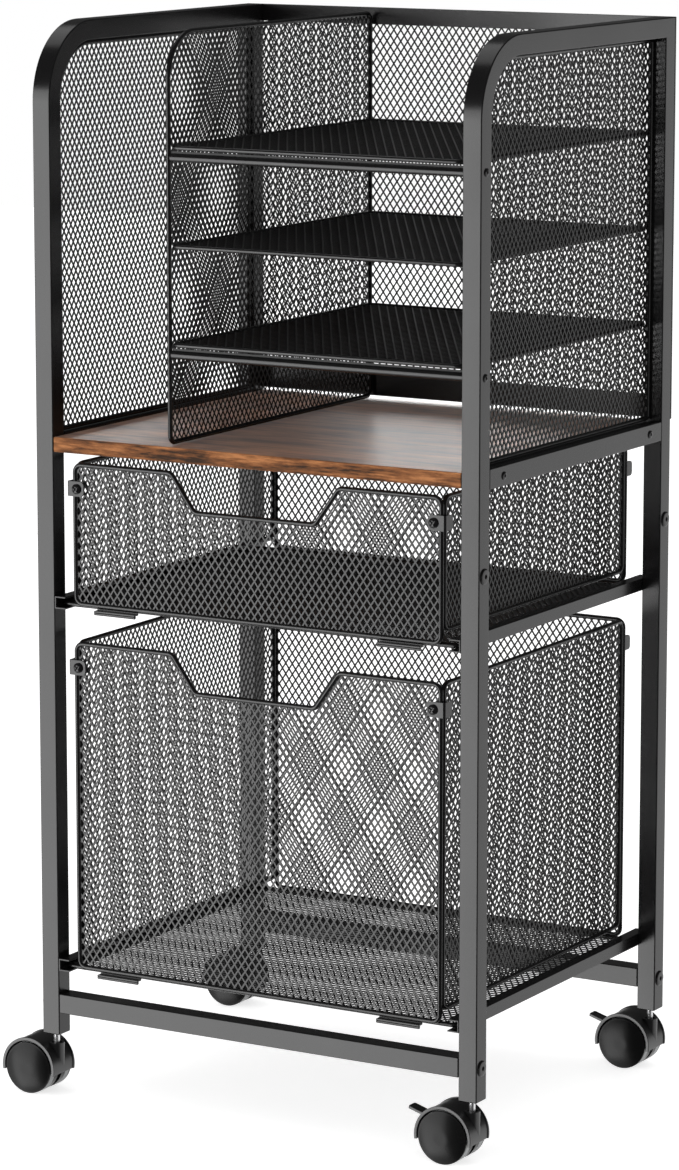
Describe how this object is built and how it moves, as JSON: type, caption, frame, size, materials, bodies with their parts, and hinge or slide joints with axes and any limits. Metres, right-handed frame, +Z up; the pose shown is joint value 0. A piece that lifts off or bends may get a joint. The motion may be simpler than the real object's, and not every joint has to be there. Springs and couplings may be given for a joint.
{
  "type": "mobile file cart",
  "caption": "Black steel file cart on swivel casters with sliding mesh drawers, a wooden board, and an upper bay with a mesh divider and letter trays.",
  "frame": {"origin": "on the floor under the middle of the whole outline, trailing casters included", "axes": "+Z up, +Y to the back, so the drawers pull out towards -Y, +X to the right seen from the front"},
  "size_m": [0.435, 0.342, 0.8653],
  "materials": {
    "powder_coat": "satin black powder coat",
    "board_wood": "dark brown wood-grain board, satin top",
    "caster_plastic": "moulded black plastic",
    "wheel_plastic": "black wheel with a pale tread",
    "bright_steel": "zinc-plated steel"
  },
  "bodies": {
    "cart": {"left_hoop": "powder_coat", "left_rear_post": "powder_coat", "left_side_rail": "powder_coat", "left_mesh_panel": "powder_coat", "middle_runner_left": "powder_coat", "lower_runner_left": "powder_coat", "right_hoop": "powder_coat", "right_rear_post": "powder_coat", "right_side_rail": "powder_coat", "right_mesh_panel": "powder_coat", "middle_runner_right": "powder_coat", "lower_runner_right": "powder_coat", "front_cross_bar": "powder_coat", "rear_cross_bar": "powder_coat", "board": "board_wood", "back_panel": "powder_coat", "divider_panel": "powder_coat", "upper_shelf": "powder_coat", "middle_shelf": "powder_coat", "lower_shelf": "powder_coat", "upper_tray_bar": "powder_coat", "lower_tray_bar": "powder_coat", "front_left_stem": "bright_steel", "front_right_stem": "bright_steel", "rear_left_stem": "bright_steel", "rear_right_stem": "bright_steel"},
    "middle_drawer": {"middle_drawer_front": "powder_coat", "middle_drawer_back": "powder_coat", "middle_drawer_left": "powder_coat", "middle_drawer_right": "powder_coat", "middle_drawer_floor": "powder_coat", "middle_drawer_clip_left": "powder_coat", "middle_drawer_clip_right": "powder_coat"},
    "lower_drawer": {"lower_drawer_front": "powder_coat", "lower_drawer_back": "powder_coat", "lower_drawer_left": "powder_coat", "lower_drawer_right": "powder_coat", "lower_drawer_floor": "powder_coat", "lower_drawer_clip_left": "powder_coat", "lower_drawer_clip_right": "powder_coat"},
    "front_left_caster": {"front_left_hood": "caster_plastic", "front_left_axle": "bright_steel"},
    "front_left_wheel_fore": {"front_left_wheel_fore": "wheel_plastic"},
    "front_left_wheel_aft": {"front_left_wheel_aft": "wheel_plastic"},
    "front_right_caster": {"front_right_hood": "caster_plastic", "front_right_axle": "bright_steel"},
    "front_right_wheel_fore": {"front_right_wheel_fore": "wheel_plastic"},
    "front_right_wheel_aft": {"front_right_wheel_aft": "wheel_plastic"},
    "front_right_brake": {"front_right_brake_lever": "caster_plastic"},
    "rear_left_caster": {"rear_left_hood": "caster_plastic", "rear_left_axle": "bright_steel"},
    "rear_left_wheel_fore": {"rear_left_wheel_fore": "wheel_plastic"},
    "rear_left_wheel_aft": {"rear_left_wheel_aft": "wheel_plastic"},
    "rear_right_caster": {"rear_right_hood": "caster_plastic", "rear_right_axle": "bright_steel"},
    "rear_right_wheel_fore": {"rear_right_wheel_fore": "wheel_plastic"},
    "rear_right_wheel_aft": {"rear_right_wheel_aft": "wheel_plastic"},
    "rear_right_brake": {"rear_right_brake_lever": "caster_plastic"}
  },
  "joints": [
    {"name": "middle_drawer_slide", "type": "slide", "parent": "cart", "child": "middle_drawer", "axis": [0, -1, 0], "range_m": [0, 0.24]},
    {"name": "lower_drawer_slide", "type": "slide", "parent": "cart", "child": "lower_drawer", "axis": [0, -1, 0], "range_m": [0, 0.24]},
    {"name": "front_left_swivel", "type": "hinge", "parent": "cart", "child": "front_left_caster", "pos_m": [-0.1745, -0.1535, 0.0463], "axis": [0, 0, 1], "continuous": true},
    {"name": "front_left_wheel_fore_spin", "type": "hinge", "parent": "front_left_caster", "child": "front_left_wheel_fore", "pos_m": [-0.1925, -0.1625, 0.0213], "axis": [0, 1, 0], "continuous": true},
    {"name": "front_left_wheel_aft_spin", "type": "hinge", "parent": "front_left_caster", "child": "front_left_wheel_aft", "pos_m": [-0.1925, -0.1445, 0.0213], "axis": [0, 1, 0], "continuous": true},
    {"name": "front_right_swivel", "type": "hinge", "parent": "cart", "child": "front_right_caster", "pos_m": [0.2095, -0.1535, 0.0463], "axis": [0, 0, 1], "continuous": true},
    {"name": "front_right_wheel_fore_spin", "type": "hinge", "parent": "front_right_caster", "child": "front_right_wheel_fore", "pos_m": [0.1915, -0.1625, 0.0213], "axis": [0, 1, 0], "continuous": true},
    {"name": "front_right_wheel_aft_spin", "type": "hinge", "parent": "front_right_caster", "child": "front_right_wheel_aft", "pos_m": [0.1915, -0.1445, 0.0213], "axis": [0, 1, 0], "continuous": true},
    {"name": "front_right_brake_press", "type": "hinge", "parent": "front_right_caster", "child": "front_right_brake", "pos_m": [0.17093, -0.1535, 0.03366], "axis": [0, -1, 0], "range_deg": [0, 15]},
    {"name": "rear_left_swivel", "type": "hinge", "parent": "cart", "child": "rear_left_caster", "pos_m": [-0.1745, 0.1535, 0.0463], "axis": [0, 0, 1], "continuous": true},
    {"name": "rear_left_wheel_fore_spin", "type": "hinge", "parent": "rear_left_caster", "child": "rear_left_wheel_fore", "pos_m": [-0.1925, 0.1445, 0.0213], "axis": [0, 1, 0], "continuous": true},
    {"name": "rear_left_wheel_aft_spin", "type": "hinge", "parent": "rear_left_caster", "child": "rear_left_wheel_aft", "pos_m": [-0.1925, 0.1625, 0.0213], "axis": [0, 1, 0], "continuous": true},
    {"name": "rear_right_swivel", "type": "hinge", "parent": "cart", "child": "rear_right_caster", "pos_m": [0.2095, 0.1535, 0.0463], "axis": [0, 0, 1], "continuous": true},
    {"name": "rear_right_wheel_fore_spin", "type": "hinge", "parent": "rear_right_caster", "child": "rear_right_wheel_fore", "pos_m": [0.1915, 0.1445, 0.0213], "axis": [0, 1, 0], "continuous": true},
    {"name": "rear_right_wheel_aft_spin", "type": "hinge", "parent": "rear_right_caster", "child": "rear_right_wheel_aft", "pos_m": [0.1915, 0.1625, 0.0213], "axis": [0, 1, 0], "continuous": true},
    {"name": "rear_right_brake_press", "type": "hinge", "parent": "rear_right_caster", "child": "rear_right_brake", "pos_m": [0.17093, 0.1535, 0.03366], "axis": [0, -1, 0], "range_deg": [0, 15]}
  ]
}
